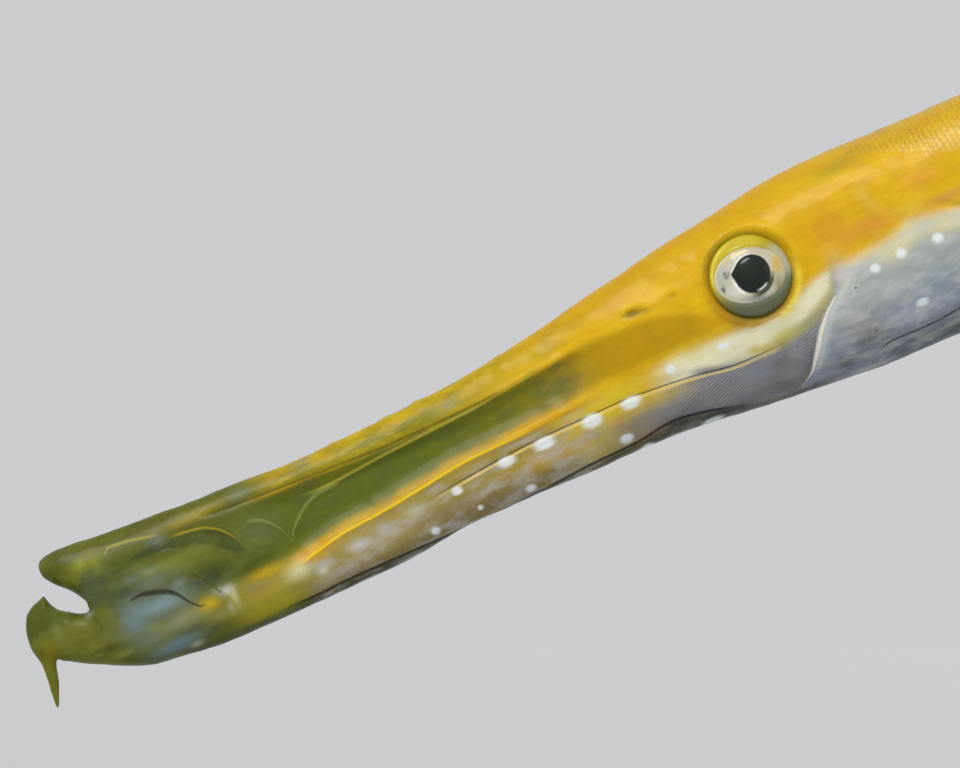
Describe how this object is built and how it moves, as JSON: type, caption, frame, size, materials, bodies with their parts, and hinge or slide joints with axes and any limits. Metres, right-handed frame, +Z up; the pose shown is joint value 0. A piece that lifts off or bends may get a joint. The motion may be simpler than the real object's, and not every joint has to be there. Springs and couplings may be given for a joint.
{
  "type": "trumpetfish",
  "caption": "Life-size yellow trumpetfish model, head down, on a plain stand with two rods.",
  "frame": {"origin": "centre of the stand's underside, on the surface that it stands on", "axes": "-X towards the fish's snout, +X towards its tail, +Z up, fish's left side towards -Y"},
  "size_m": [0.564, 0.108, 0.2676],
  "materials": {
    "skin_gold": "satin",
    "skin_olive": "satin",
    "skin_silver": "satin",
    "fin_gold": "satin",
    "eye": "gloss",
    "stand_wood": "satin",
    "stand_steel": "brushed"
  },
  "bodies": {
    "root": {"snout": "skin_olive", "lower_jaw": "skin_olive", "chin_barbel": "skin_olive", "maxilla_left": "skin_olive", "maxilla_right": "skin_olive", "head": "skin_gold", "eye_left": "eye", "eye_right": "eye", "gill_cover_left": "skin_silver", "gill_cover_right": "skin_silver", "trunk_front": "skin_gold", "trunk_middle": "skin_gold", "trunk_rear": "skin_gold", "tail_stalk": "skin_gold", "dorsal_fin": "fin_gold", "anal_fin": "fin_gold", "tail_fin": "fin_gold", "pectoral_fin_left": "fin_gold", "pectoral_fin_right": "fin_gold", "pelvic_fin_left": "fin_gold", "pelvic_fin_right": "fin_gold", "stand_base": "stand_wood", "stand_rod_front": "stand_steel", "stand_rod_rear": "stand_steel"}
  },
  "joints": []
}
